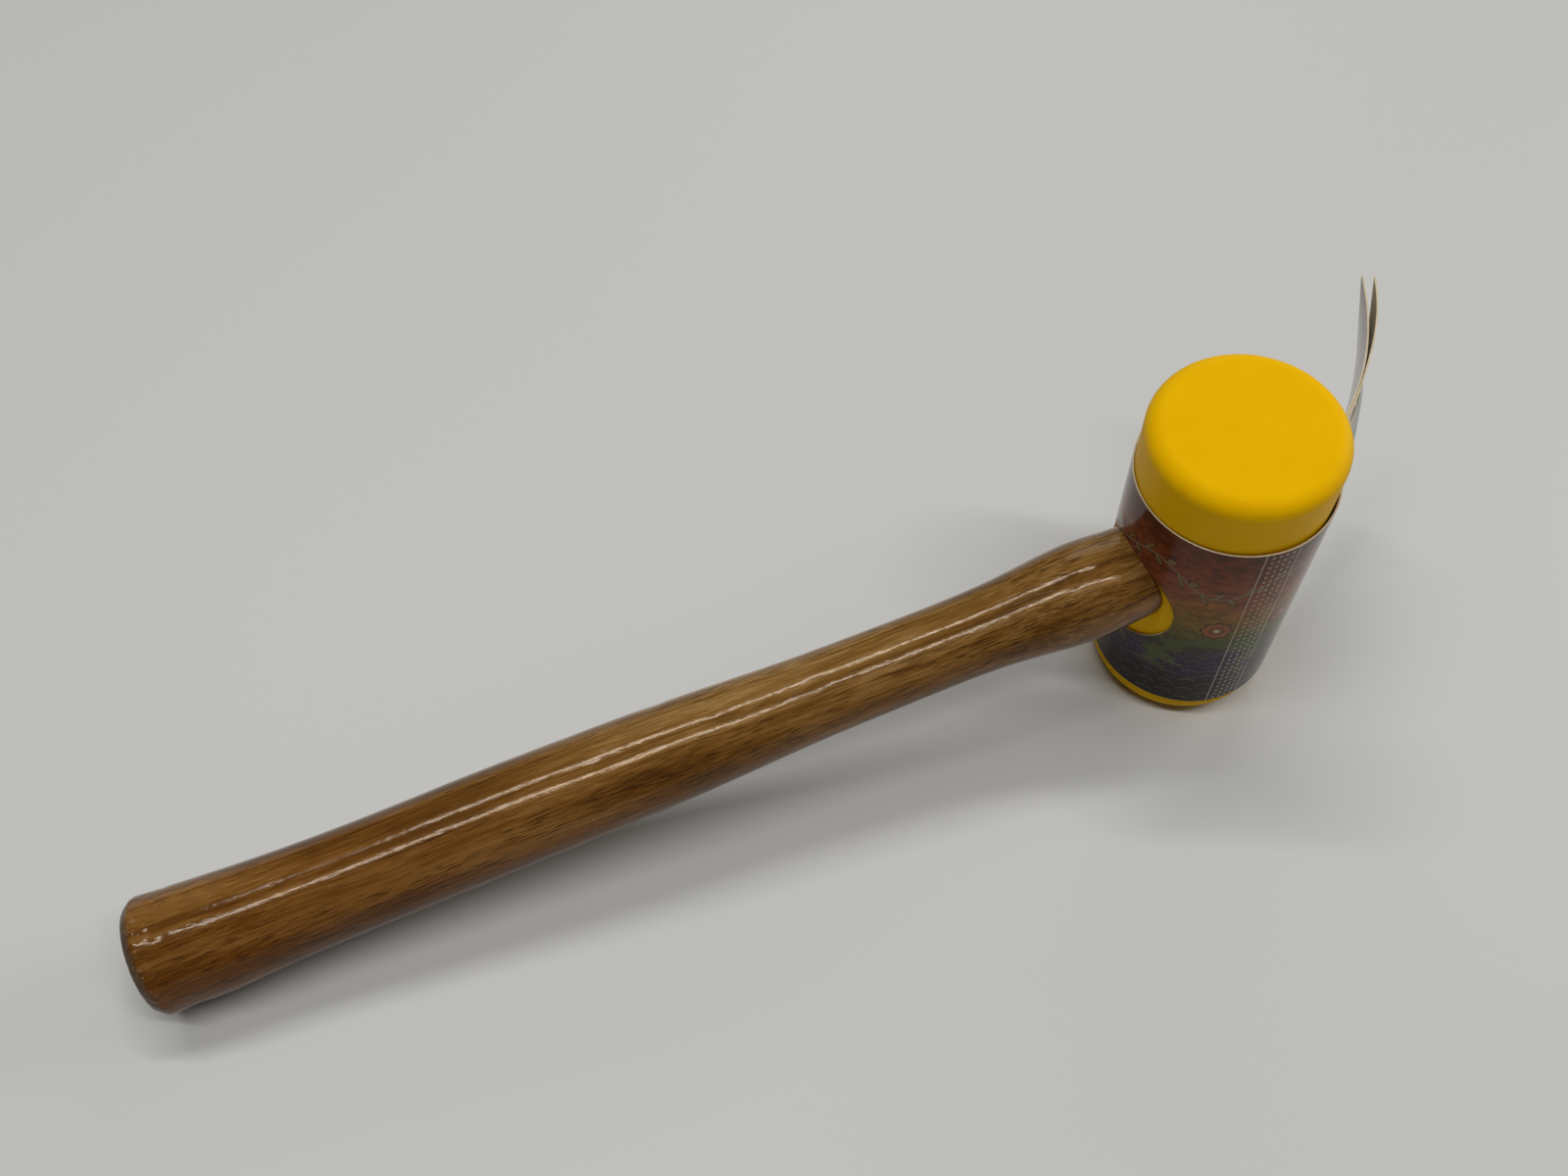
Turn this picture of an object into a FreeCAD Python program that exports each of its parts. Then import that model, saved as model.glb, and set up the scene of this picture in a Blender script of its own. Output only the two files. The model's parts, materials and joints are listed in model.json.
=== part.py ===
import FreeCAD, Part
import math
import os
from FreeCAD import Placement, Rotation, Vector

# Plastic mallet: a yellow moulded head on a turned wooden handle, with a loose printed card sleeve
# round the head, whose two ends meet behind it as a hang tab.
# The pieces are drawn in the head's own frame: +Z up the head, foot face at 0, handle towards -X.
# They then lean together until the butt and the foot's edge stand on the table at Z = 0.

# Head
head_diameter = 57.0
head_length = 119.0
head_edge_radius = 5.0
eye_diameter = 22.0
handle_height = 61.0  # handle's axis above the foot face

# Handle, turned in one piece with its tenon
handle_reach = 332.0  # head's axis to the butt end
butt_diameter = 34.4
butt_chamfer_length = 2.6
butt_chamfer_depth = 1.9
hollow_diameter = 29.4  # where the little finger lies
grip_diameter = 30.2
waist_diameter = 25.3
shoulder_diameter = 30.9
seat_diameter = 28.9  # where the handle meets the head's wall
station_shares = (0.066, 0.187, 0.3, 0.43, 0.53, 0.64, 0.74, 0.87, 0.955)  # along, from the butt
flare_share = 0.54  # of the step from the hollow out to the butt
fade_shares = (0.74, 0.18)  # of the step from the waist out to the grip
rise_share = 0.3  # of the step from the waist out to the shoulder

# Wedges in the tenon's far end
wedge_length = 32.0
wedge_thickness = 4.0
wedge_tip_thickness = 1.2
steel_wedge_length = 15.0
steel_wedge_width = 14.0
steel_wedge_thickness = 2.4
steel_wedge_tip_thickness = 0.4
steel_wedge_spacing = 11.0

# Card sleeve
card_thickness = 0.5
card_height = 89.0
sleeve_gap = 0.3  # free space on the handle's side of the head
sleeve_slack = 0.5  # how far the loose sleeve hangs away towards the tab
slit_width = 0.3  # between the wrap's two ends
sleeve_hole_diameter = 40.0
sleeve_hole_height = 46.3  # hole's centre above the card's lower edge
sleeve_rest_gap = 0.35  # hole's upper edge over the handle

# Hang tab: the card's two ends, side by side, each a leaf
tab_length = 67.0
tab_azimuth = -3.5  # round the head from the side opposite the handle, in degrees
tab_heading = 30.2  # direction in which the leaves leave the sleeve, in degrees
crease_gap = 0.3
leaf_gap = 0.1
span_shares = (0.3, 0.3, 0.4)  # three tangent bends along each leaf
left_rim_headings = (41.8, 53.4, 66.3)  # upper edge, at each bend's end
left_foot_headings = (30.5, 30.8, 31.2)  # lower edge
right_rim_headings = (41.8, 47.1, 63.4)
right_foot_headings = (30.5, 30.7, 31.0)
hang_hole_diameter = 13.0
hang_hole_inset = 14.0  # hole's centre from the leaves' free end

# Staples that close the tab
staple_inset = 9.0  # from the crease
staple_spacing = 44.0
staple_length = 12.0
staple_wire = 0.5
staple_clinch = 4.0
staple_fillet = 0.3
staple_gap = 0.08

cut_overrun = 4.0
Z_AXIS = Vector(0, 0, 1)


def lean_angle():
    """Angle at which the table touches both the butt's edge and the round of the head's foot."""
    run = handle_reach - butt_chamfer_length - (head_diameter / 2 - head_edge_radius)
    rise = handle_height - butt_diameter / 2 - head_edge_radius
    return math.atan2(rise, run) + math.asin(head_edge_radius / math.hypot(run, rise))


def standing():
    """Placement that stands the leaning mallet on the table."""
    lean = lean_angle()
    corner_x = -handle_reach + butt_chamfer_length
    corner_z = handle_height - butt_diameter / 2
    lift = -(corner_z * math.cos(lean) + corner_x * math.sin(lean))
    return Placement(Vector(0, 0, lift), Rotation(Vector(0, 1, 0), -math.degrees(lean)))


def polar(radius, degrees):
    return Vector(radius * math.cos(math.radians(degrees)), radius * math.sin(math.radians(degrees)), 0)


def tapered_wedge(length, width, thickness, tip_thickness, tenon_end):
    """Wedge driven towards -X, thick at the tenon's end; its width lies along Z."""
    corners = [
        Vector(tenon_end, -thickness / 2, -width / 2),
        Vector(tenon_end, thickness / 2, -width / 2),
        Vector(tenon_end - length, tip_thickness / 2, -width / 2),
        Vector(tenon_end - length, -tip_thickness / 2, -width / 2),
    ]
    return Part.Face(Part.makePolygon(corners + corners[:1])).extrude(Z_AXIS * width)


# Head

head_radius = head_diameter / 2
eye_radius = eye_diameter / 2
handle_centre = Vector(0, 0, handle_height)


def make_head():
    body = Part.makeCylinder(head_radius, head_length)
    rims = [edge for edge in body.Edges if edge.Curve.TypeId == "Part::GeomCircle"]
    body = body.makeFillet(head_edge_radius, rims)
    eye_start = handle_centre - Vector(head_radius + cut_overrun, 0, 0)
    eye = Part.makeCylinder(eye_radius, head_diameter + 2 * cut_overrun, eye_start, Vector(1, 0, 0))
    return body.cut(eye)


# Handle and wedges

tenon_end = math.sqrt(head_radius**2 - eye_radius**2)
handle_length = handle_reach - head_radius


def handle_stations():
    """Distance from the butt and radius, at the chamfer, each station and the head's wall."""
    butt, hollow, grip = butt_diameter / 2, hollow_diameter / 2, grip_diameter / 2
    waist, shoulder = waist_diameter / 2, shoulder_diameter / 2
    radii = (
        hollow + (butt - hollow) * flare_share,
        hollow,
        grip,
        grip,
        waist + (grip - waist) * fade_shares[0],
        waist + (grip - waist) * fade_shares[1],
        waist,
        waist + (shoulder - waist) * rise_share,
        shoulder,
    )
    middle = [(share * handle_length, radius) for share, radius in zip(station_shares, radii)]
    return [(butt_chamfer_length, butt)] + middle + [(handle_length, seat_diameter / 2)]


def make_handle_blank():
    """Turned handle that runs into the head, trimmed to the head's round wall."""
    points = [Vector(-handle_reach + along, 0, radius) for along, radius in handle_stations()]
    outline = Part.BSplineCurve()
    outline.interpolate(points)
    face_radius = butt_diameter / 2 - butt_chamfer_depth
    butt_centre = Vector(-handle_reach, 0, 0)
    butt_rim = Vector(-handle_reach, 0, face_radius)
    inner_rim = Vector(-eye_radius, 0, seat_diameter / 2)
    inner_centre = Vector(-eye_radius, 0, 0)
    edges = [
        Part.makeLine(butt_centre, butt_rim),
        Part.makeLine(butt_rim, points[0]),
        outline.toShape(),
        Part.makeLine(points[-1], inner_rim),
        Part.makeLine(inner_rim, inner_centre),
        Part.makeLine(inner_centre, butt_centre),
    ]
    turned = Part.Face(Part.Wire(edges)).revolve(Vector(0, 0, 0), Vector(1, 0, 0), 360)
    turned.translate(handle_centre)
    turned = turned.cut(Part.makeCylinder(head_radius, head_length))
    tenon_start = handle_centre - Vector(head_radius + seat_diameter / 2, 0, 0)
    tenon_run = head_radius + seat_diameter / 2 + tenon_end
    tenon = Part.makeCylinder(eye_radius, tenon_run, tenon_start, Vector(1, 0, 0))
    return turned.fuse(tenon).removeSplitter()


def make_wedges():
    """Wooden wedge across the tenon, and two steel wedges driven across it."""
    tenon = Part.makeCylinder(eye_radius, wedge_length + cut_overrun, Vector(tenon_end, 0, 0), Vector(-1, 0, 0))
    wood = tapered_wedge(wedge_length, eye_diameter + cut_overrun, wedge_thickness, wedge_tip_thickness, tenon_end)
    wood = wood.common(tenon)
    steel = []
    for side in (-1, 1):
        size = (steel_wedge_length, steel_wedge_width, steel_wedge_thickness, steel_wedge_tip_thickness)
        one = tapered_wedge(*size, tenon_end)
        one.rotate(Vector(0, 0, 0), Vector(1, 0, 0), 90)
        one.translate(Vector(0, 0, side * steel_wedge_spacing / 2))
        steel.append(one)
    steel = Part.makeCompound(steel)
    wood = wood.cut(steel)
    wood.translate(handle_centre)
    steel.translate(handle_centre)
    return wood, steel


# Card sleeve

sleeve_inner = head_radius + sleeve_gap + sleeve_slack
sleeve_outer = sleeve_inner + card_thickness
sleeve_centre = Vector(sleeve_slack, 0, 0)
hole_radius = sleeve_hole_diameter / 2
hole_height = handle_height + seat_diameter / 2 + sleeve_rest_gap - hole_radius
card_foot = hole_height - sleeve_hole_height
card_rim = card_foot + card_height


def make_sleeve():
    """Wrap of the card: a loose ring with the handle's hole and the slit where its ends meet."""
    base = sleeve_centre + Z_AXIS * card_foot
    ring = Part.makeCylinder(sleeve_outer, card_height, base)
    ring = ring.cut(Part.makeCylinder(sleeve_inner, card_height, base))
    card_radius = (sleeve_inner + sleeve_outer) / 2
    hole_half_width = card_radius * math.sin(hole_radius / card_radius)
    hole = Part.Ellipse(Vector(0, 0, 0), hole_radius, hole_half_width)
    hole = Part.Face(Part.Wire([hole.toShape()]))
    hole.rotate(Vector(0, 0, 0), Vector(0, 1, 0), -90)
    hole.translate(Vector(0, 0, hole_height))
    ring = ring.cut(hole.extrude(Vector(-sleeve_outer - cut_overrun, 0, 0)))
    slit = Part.makeBox(sleeve_outer + cut_overrun, slit_width, card_height)
    slit.translate(Vector(0, -slit_width / 2, card_foot))
    slit.rotate(Vector(0, 0, 0), Z_AXIS, tab_azimuth)
    slit.translate(sleeve_centre)
    return ring.cut(slit)


# Hang tab

pair_half = card_thickness + leaf_gap / 2
crease = sleeve_centre + polar(sleeve_outer + crease_gap + pair_half, tab_azimuth)


def bends(headings):
    """Each bend of a leaf's middle line: centre, signed radius, first and last heading."""
    point = crease
    first = tab_heading
    rows = []
    for share, last in zip(span_shares, headings):
        radius = share * tab_length / math.radians(last - first)
        centre = point - polar(radius, first - 90)
        point = centre + polar(radius, last - 90)
        rows.append((centre, radius, first, last))
        first = last
    return rows


def line_point(headings, share, offset):
    """Point at a share of a leaf's length, set off to the left of its middle line."""
    start = 0
    for span, (centre, radius, first, last) in zip(span_shares, bends(headings)):
        if share <= start + span:
            break
        start += span
    heading = first + (last - first) * (share - start) / span
    return centre + polar(radius - offset, heading - 90), heading


def leaf_outline(headings, near, far, height):
    """Closed outline of one leaf at one height, between two offsets from the middle line."""
    rows = bends(headings)
    sides = []
    for offset in (near, far):
        side = []
        for centre, radius, first, last in rows:
            middle = (first + last) / 2
            places = [centre + polar(radius - offset, angle - 90) for angle in (first, middle, last)]
            places = [place + Z_AXIS * height for place in places]
            side.append(Part.Arc(*places).toShape())
        sides.append(side)
    root = [side[0].valueAt(side[0].FirstParameter) for side in sides]
    tip = [side[-1].valueAt(side[-1].LastParameter) for side in sides]
    loop = sides[0] + [Part.makeLine(tip[0], tip[1])] + sides[1][::-1] + [Part.makeLine(root[1], root[0])]
    return Part.Wire(loop)


def make_leaf(foot_headings, rim_headings, near, far):
    foot = leaf_outline(foot_headings, near, far, card_foot)
    rim = leaf_outline(rim_headings, near, far, card_rim)
    return Part.makeLoft([foot, rim], True, True)


def tab_place(share, height, foot_headings, rim_headings):
    """Point between the leaves, with the directions along the card's edge, up it and out of it."""
    low, low_heading = line_point(foot_headings, share, 0)
    high, high_heading = line_point(rim_headings, share, 0)
    rise = (height - card_foot) / card_height
    low = low + Z_AXIS * card_foot
    high = high + Z_AXIS * card_rim
    up = (high - low).normalize()
    along = polar(1, low_heading + (high_heading - low_heading) * rise)
    out = up.cross(along).normalize()
    return low + (high - low) * rise, out.cross(up), up, out


def make_hang_hole():
    """Round punch through both leaves, square to the card."""
    share = 1 - hang_hole_inset / tab_length
    height = card_foot + card_height / 2
    left, _, _, left_out = tab_place(share, height, left_foot_headings, left_rim_headings)
    right, _, _, right_out = tab_place(share, height, right_foot_headings, right_rim_headings)
    out = (left_out + right_out).normalize()
    middle = (left + right) * 0.5
    reach = (left - right).Length + cut_overrun
    return Part.makeCylinder(hang_hole_diameter / 2, 2 * reach, middle - out * reach, out), middle, out


def make_staple(height):
    """Bent wire: crown on the right leaf, legs through both and clinched on the left leaf."""
    place, along, up, out = tab_place(staple_inset / tab_length, height, left_foot_headings, left_rim_headings)
    inner = pair_half + staple_gap
    outer = inner + staple_wire
    half = staple_length / 2
    body = Part.makeBox(staple_length, 2 * outer, staple_wire, Vector(-half, -outer, -staple_wire / 2))
    ends = [edge for edge in body.Edges if edge.BoundBox.XLength < staple_fillet
            and edge.BoundBox.YLength < staple_fillet]
    body = body.makeFillet(staple_fillet, ends)
    inside = staple_length - 2 * staple_wire
    body = body.cut(Part.makeBox(inside, 2 * inner, staple_wire, Vector(-inside / 2, -inner, -staple_wire / 2)))
    open_length = staple_length - 2 * staple_clinch
    opening = Part.makeBox(open_length, outer, staple_wire, Vector(-open_length / 2, 0, -staple_wire / 2))
    body = body.cut(opening)
    matrix = FreeCAD.Matrix(
        up.x, out.x, along.x, place.x,
        up.y, out.y, along.y, place.y,
        up.z, out.z, along.z, place.z,
    )
    body.Placement = Placement(matrix)
    return body


def make_tab():
    offset = leaf_gap / 2
    left = make_leaf(left_foot_headings, left_rim_headings, offset, offset + card_thickness)
    right = make_leaf(right_foot_headings, right_rim_headings, -offset - card_thickness, -offset)
    middle_height = card_foot + card_height / 2
    staples = [make_staple(middle_height + side * staple_spacing / 2) for side in (-1, 1)]
    staples = Part.makeCompound(staples)
    punch, _, _ = make_hang_hole()
    return left.cut(punch).cut(staples), right.cut(punch).cut(staples), staples


def main():
    wood, steel = make_wedges()
    left, right, staples = make_tab()
    pieces = {
        "mallet_head": make_head(),
        "handle": make_handle_blank().cut(wood).cut(steel),
        "wooden_wedge": wood,
        "steel_wedges": steel,
        "card_sleeve": make_sleeve(),
        "tab_leaf_left": left,
        "tab_leaf_right": right,
        "tab_staples": staples,
    }
    stand = standing()
    box = FreeCAD.BoundBox()
    for shape in pieces.values():
        shape.Placement = stand.multiply(shape.Placement)
        box.add(shape.optimalBoundingBox(False))
    shift = Vector(-box.Center.x, -box.Center.y, 0)
    os.makedirs("parts", exist_ok=True)
    for node, shape in pieces.items():
        shape.translate(shift)
        shape.exportStep("parts/" + node + ".step")
        print(node, "solids", len(shape.Solids), "valid", shape.isValid(), "volume", round(shape.Volume, 1))
    report_places(stand, shift, box)


def report_places(stand, shift, box):
    """Prints the places that the record states, in the finished frame."""
    def out(name, point):
        place = stand.multVec(point) + shift
        print(name, [round(value, 3) for value in place])

    direction = stand.Rotation.multVec(Z_AXIS)
    print("lean", round(math.degrees(lean_angle()), 4), "up the head", [round(value, 6) for value in direction])
    handle_direction = stand.Rotation.multVec(Vector(-1, 0, 0))
    print("towards the butt", [round(value, 6) for value in handle_direction])
    print("box", box, "shift", shift)
    out("foot face", Vector(0, 0, 0))
    out("top face", Vector(0, 0, head_length))
    out("butt face", handle_centre - Vector(handle_reach, 0, 0))
    out("crease", crease + Z_AXIS * (card_foot + card_height / 2))
    hole_room = (sleeve_hole_diameter - seat_diameter) - 2 * sleeve_rest_gap
    print("sleeve slip", round(hole_room, 3), "card foot", round(card_foot, 2), "card rim", round(card_rim, 2))
    _, middle, normal = make_hang_hole()
    out("hang hole", middle)
    print("hang hole axis", [round(value, 4) for value in stand.Rotation.multVec(normal)])


main()
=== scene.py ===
import json
import math
import random

import bmesh
import bpy
import numpy as np
from mathutils import Matrix, Vector, noise
from mathutils.geometry import delaunay_2d_cdt


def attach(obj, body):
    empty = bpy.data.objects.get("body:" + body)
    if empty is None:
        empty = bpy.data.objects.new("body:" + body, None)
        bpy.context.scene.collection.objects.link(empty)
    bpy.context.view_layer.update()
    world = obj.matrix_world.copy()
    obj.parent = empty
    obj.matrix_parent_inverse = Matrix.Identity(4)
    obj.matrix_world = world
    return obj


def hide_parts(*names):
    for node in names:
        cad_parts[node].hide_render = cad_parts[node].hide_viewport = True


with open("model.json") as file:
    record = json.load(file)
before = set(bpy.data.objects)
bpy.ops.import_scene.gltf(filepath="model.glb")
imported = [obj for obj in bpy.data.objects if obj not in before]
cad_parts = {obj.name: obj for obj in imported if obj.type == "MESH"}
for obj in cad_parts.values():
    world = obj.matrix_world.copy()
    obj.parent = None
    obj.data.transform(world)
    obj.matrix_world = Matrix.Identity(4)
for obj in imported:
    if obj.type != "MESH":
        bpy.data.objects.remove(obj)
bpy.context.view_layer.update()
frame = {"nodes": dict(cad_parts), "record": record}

mm = 0.001
nodes = frame["nodes"]
mounts = {mount["name"]: mount for mount in frame["record"]["mounts"]}

# The mallet leans back on its butt. Pieces are drawn upright, with the middle of the head's foot
# at zero, +Z up the head and the handle towards -X, and then stood here.
upHead = -Vector(mounts["striking_face_foot"]["axis"]).normalized()
acrossHead = Vector((upHead.z, 0, -upHead.x))
lean = math.atan2(-upHead.x, upHead.z)
stand = Matrix((acrossHead, (0, 1, 0), upHead)).transposed().to_4x4()
stand.translation = Vector(mounts["striking_face_foot"]["pos_m"])
print("frame loaded, lean", round(math.degrees(lean), 3))


# Camera, lights, floor

photoCamera = {
    "place": (-0.13272, -0.19343, 0.42030),
    "right": (0.92134, -0.38002, 0.08182),
    "up": (0.27397, 0.78413, 0.55681),
    "back": (-0.27577, -0.49060, 0.82659),
    "lens": 33.75,
    "sensor": 36.0,
    "nearest": 0.01,
}
studio = {
    "lamps": [  # two ceiling strips and two soft windows: start, end, width, power
        ((-0.80, 1.07, 2.0), (0.55, 0.50, 2.0), 0.11, 14.5),
        ((-1.10, 0.17, 2.0), (0.85, -0.86, 2.0), 0.11, 19.8),
        ((1.65, -0.40, 0.8), (1.75, 0.50, 0.8), 0.9, 7.5),
        ((0.50, 1.70, 0.9), (1.50, 1.30, 0.9), 0.8, 3.0),
    ],
    "aim": (0, 0, 0),
    "skyColour": (1.0, 0.94, 0.80),
    "skyStrength": 0.06,
    "floorColour": (0.60, 0.60, 0.58),
    "floorRoughness": 0.55,
    "floorSide": 8.0,
}


def put(tree, kind, sockets=None, **settings):
    node = tree.nodes.new("ShaderNode" + kind)
    for name, value in settings.items():
        setattr(node, name, value)
    for key, value in (sockets or {}).items():
        if isinstance(value, bpy.types.NodeSocket):
            tree.links.new(value, node.inputs[key])
        else:
            node.inputs[key].default_value = value
    return node


def addObject(name, data, place=None):
    thing = bpy.data.objects.new(name, data)
    bpy.context.scene.collection.objects.link(thing)
    if place is not None:
        thing.matrix_world = place
    return thing


def makeCamera():
    lens = bpy.data.cameras.new("photoLens")
    lens.lens = photoCamera["lens"]
    lens.sensor_width = photoCamera["sensor"]
    lens.clip_start = photoCamera["nearest"]
    axes = Matrix([photoCamera[name] for name in ("right", "up", "back")])
    place = Matrix.Translation(photoCamera["place"]) @ axes.transposed().to_4x4()
    bpy.context.scene.camera = addObject("photoCamera", lens, place)
    bpy.context.scene.view_settings.view_transform = "Standard"  # the photograph's own plain tones


def makeLamps():
    for number, (start, end, width, power) in enumerate(studio["lamps"]):
        start, end = Vector(start), Vector(end)
        middle = (start + end) / 2
        along = (end - start).normalized()
        back = (middle - Vector(studio["aim"])).normalized()
        side = back.cross(along).normalized()
        light = bpy.data.lights.new(f"lamp{number}", "AREA")
        light.shape = "RECTANGLE"
        light.size, light.size_y = (end - start).length, width
        light.energy = power
        axes = Matrix((along, side, along.cross(side)))
        place = Matrix.Translation(middle) @ axes.transposed().to_4x4()
        addObject(f"lamp{number}", light, place)


def makeRoom():
    world = bpy.data.worlds.new("softRoom")
    bpy.context.scene.world = world
    world.use_nodes = True
    sky = world.node_tree.nodes["Background"]
    sky.inputs["Color"].default_value = (*studio["skyColour"], 1)
    sky.inputs["Strength"].default_value = studio["skyStrength"]
    half = studio["floorSide"] / 2
    sheet = bpy.data.meshes.new("floor")
    corners = [(-half, -half, 0), (half, -half, 0), (half, half, 0), (-half, half, 0)]
    sheet.from_pydata(corners, [], [(0, 1, 2, 3)])
    floor = addObject("floor", sheet)
    paint = bpy.data.materials.new("paleFloor")
    paint.use_nodes = True
    shader = paint.node_tree.nodes["Principled BSDF"]
    shader.inputs["Base Color"].default_value = (*studio["floorColour"], 1)
    shader.inputs["Roughness"].default_value = studio["floorRoughness"]
    sheet.materials.append(paint)


makeCamera()
makeLamps()
makeRoom()
print("camera, lights and floor ready")


# Shader helpers

def calc(tree, operation, first, second=0.0, third=0.0):
    return put(tree, "Math", {0: first, 1: second, 2: third}, operation=operation).outputs[0]


def times(tree, first, second):
    return calc(tree, "MULTIPLY", first, second)


def scaled(tree, value, size, base):
    # value times size, added to base
    return calc(tree, "MULTIPLY_ADD", value, size, base)


def stretched(tree, vector, factors):
    return put(tree, "VectorMath", {0: vector, 1: factors}, operation="MULTIPLY").outputs[0]


def noiseOf(tree, vector, detail=2.0, roughness=0.5, scale=1.0):
    sockets = {"Vector": vector, "Scale": scale, "Detail": detail, "Roughness": roughness}
    return put(tree, "TexNoise", sockets).outputs[0]


def fade(tree, value, low, high):
    sockets = {"Value": value, "From Min": low, "From Max": high}
    return put(tree, "MapRange", sockets, interpolation_type="SMOOTHSTEP").outputs[0]


def blend(tree, share, first, second, mode="MIX"):
    # first and second are sockets or plain colours
    sockets = {0: share}
    for key, value in ((6, first), (7, second)):
        sockets[key] = value if isinstance(value, bpy.types.NodeSocket) else (*value, 1)
    return put(tree, "Mix", sockets, data_type="RGBA", blend_type=mode).outputs[2]


def sway(tree, value, size, base):
    # a noise about its middle, scaled and added to base
    return scaled(tree, calc(tree, "SUBTRACT", value, 0.5), size, base)


def clamped(tree, value):
    return put(tree, "Clamp", {0: value}).outputs[0]


def nearTo(tree, value, middle, wide, narrow):
    # 0 further than wide from the middle, 1 nearer than narrow
    away = calc(tree, "ABSOLUTE", calc(tree, "SUBTRACT", value, middle))
    return fade(tree, away, wide, narrow)


def ramp(tree, value, stops):
    node = put(tree, "ValToRGB", {0: value})
    points = node.color_ramp.elements
    points.remove(points[1])
    points[0].position, points[0].color = stops[0][0], (*stops[0][1], 1)
    for place, colour in stops[1:]:
        points.new(place).color = (*colour, 1)
    return node.outputs[0]


def newGroup(name, inputs, outputs):
    group = bpy.data.node_groups.new(name, "ShaderNodeTree")
    for label, kind, value in inputs:
        socket = group.interface.new_socket(label, in_out="INPUT", socket_type="NodeSocket" + kind)
        if value is not None:
            socket.default_value = value
    for label, kind in outputs:
        group.interface.new_socket(label, in_out="OUTPUT", socket_type="NodeSocket" + kind)
    entry, leave = group.nodes.new("NodeGroupInput"), group.nodes.new("NodeGroupOutput")
    return group, entry.outputs, leave.inputs


def useGroup(tree, group, **sockets):
    return put(tree, "Group", sockets, node_tree=group).outputs


def newMaterial(name, **sockets):
    material = bpy.data.materials.new(name)
    material.use_nodes = True
    shader = material.node_tree.nodes["Principled BSDF"]
    for label, value in sockets.items():
        shader.inputs[label.replace("_", " ")].default_value = value
    return material, material.node_tree, shader


def setGloss(shader, look):
    shader.inputs["Specular IOR Level"].default_value = look["gloss"]
    shader.inputs["Specular Tint"].default_value = (*look["sheenTint"], 1)


def ownPlace(tree):
    # place in millimetres on a piece that is drawn upright here
    coordinates = put(tree, "TexCoord").outputs["Object"]
    return stretched(tree, coordinates, (1 / mm, 1 / mm, 1 / mm))


def nodePlace(tree):
    # the same place on a CAD node, whose vertices are already leaning
    shift = stand.inverted().translation / mm
    coordinates = put(tree, "TexCoord").outputs["Object"]
    sockets = {"Vector": coordinates, "Location": shift, "Rotation": (0, lean, 0)}
    return put(tree, "Mapping", {**sockets, "Scale": (1 / mm, 1 / mm, 1 / mm)}).outputs[0]


def bumpInto(tree, shader, height, depth):
    # height runs from 0 to 1 over depth, in millimetres
    bump = put(tree, "Bump", {"Height": height, "Distance": depth * mm, "Strength": 1.0})
    tree.links.new(bump.outputs[0], shader.inputs["Normal"])


# Shared effects

def makeSkin():
    # uneven film of lacquer, varnish or moulded plastic; Size is its ripple in millimetres
    group, ins, outs = newGroup(
        "unevenSkin",
        [("Place", "Vector", None), ("Size", "Float", 1.0), ("Stretch", "Float", 1.0)],
        [("Height", "Float")],
    )
    squeeze = calc(group, "DIVIDE", 1.0, ins["Stretch"])
    factors = put(group, "CombineXYZ", {0: squeeze, 1: 1.0, 2: 1.0}).outputs[0]
    place = stretched(group, ins["Place"], factors)
    scale = calc(group, "DIVIDE", 1.0, ins["Size"])
    ripple = noiseOf(group, place, 3.0, 0.55, scale)
    group.links.new(ripple, outs["Height"])
    return group


scuffLook = {
    "grit": 1.6,
    "gritShare": 0.45,
    "edge": 0.78,  # a noise above this is rubbed
    "reach": 0.3,  # how far Amount lowers that edge
    "contrast": 9.0,
}


def makeScuffs():
    # short rubbed patches and scratches, from 0 to 1
    group, ins, outs = newGroup(
        "rubbedPatches",
        [("Place", "Vector", None), ("Amount", "Float", 0.3), ("Size", "Float", 4.0)],
        [("Mask", "Float")],
    )
    scale = calc(group, "DIVIDE", 1.0, ins["Size"])
    patches = noiseOf(group, ins["Place"], 3.0, 0.6, scale)
    grit = noiseOf(group, ins["Place"], 3.0, 0.7, scuffLook["grit"])
    mask = sway(group, grit, scuffLook["gritShare"], patches)
    edge = scaled(group, ins["Amount"], -scuffLook["reach"], scuffLook["edge"])
    mask = times(group, calc(group, "SUBTRACT", mask, edge), scuffLook["contrast"])
    group.links.new(clamped(group, mask), outs["Mask"])
    return group


woodFigure = {
    "pith": (0, 95, 20),  # the tree's middle, behind the handle
    "ringWidth": 2.3,
    "ringStretch": (0.02, 1, 1),
    "wander": 2.6,
    "wanderStretch": (0.011, 0.028, 0.028),
    "layers": {  # stretch along and across the grain, detail, roughness
        "fibres": ((0.055, 1.5, 1.5), 3.0, 0.6),
        "hairs": ((0.09, 4.2, 4.2), 2.0, 0.5),
        "tone": ((0.012, 0.09, 0.09), 3.0, 0.55),
        "blotches": ((0.09, 0.36, 0.36), 3.0, 0.6),
        "rays": ((0.13, 2.5, 2.5), 1.0, 0.5),
        "crowd": ((0.02, 0.16, 0.16), 1.0, 0.5),
        "pores": ((0.018, 0.40, 0.40), 1.0, 0.5),
        "breaks": ((0.045, 0.3, 0.3), 1.0, 0.6),
    },
    "shares": {"rings": 0.40, "fibres": 0.44, "hairs": 0.34, "tone": 0.62},
    "blotchShare": 0.7,
    "crowding": 0.30,  # how much the rays bunch together
    "rayEdge": (0.56, 0.62),
    "poreLine": 0.52,
    "poreEdge": (0.030, 0.008),
    "breakEdge": (0.46, 0.52),
}


def noiseLayers(tree, place, layers):
    return {name: noiseOf(tree, stretched(tree, place, stretch), detail, roughness)
            for name, (stretch, detail, roughness) in layers.items()}


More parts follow.
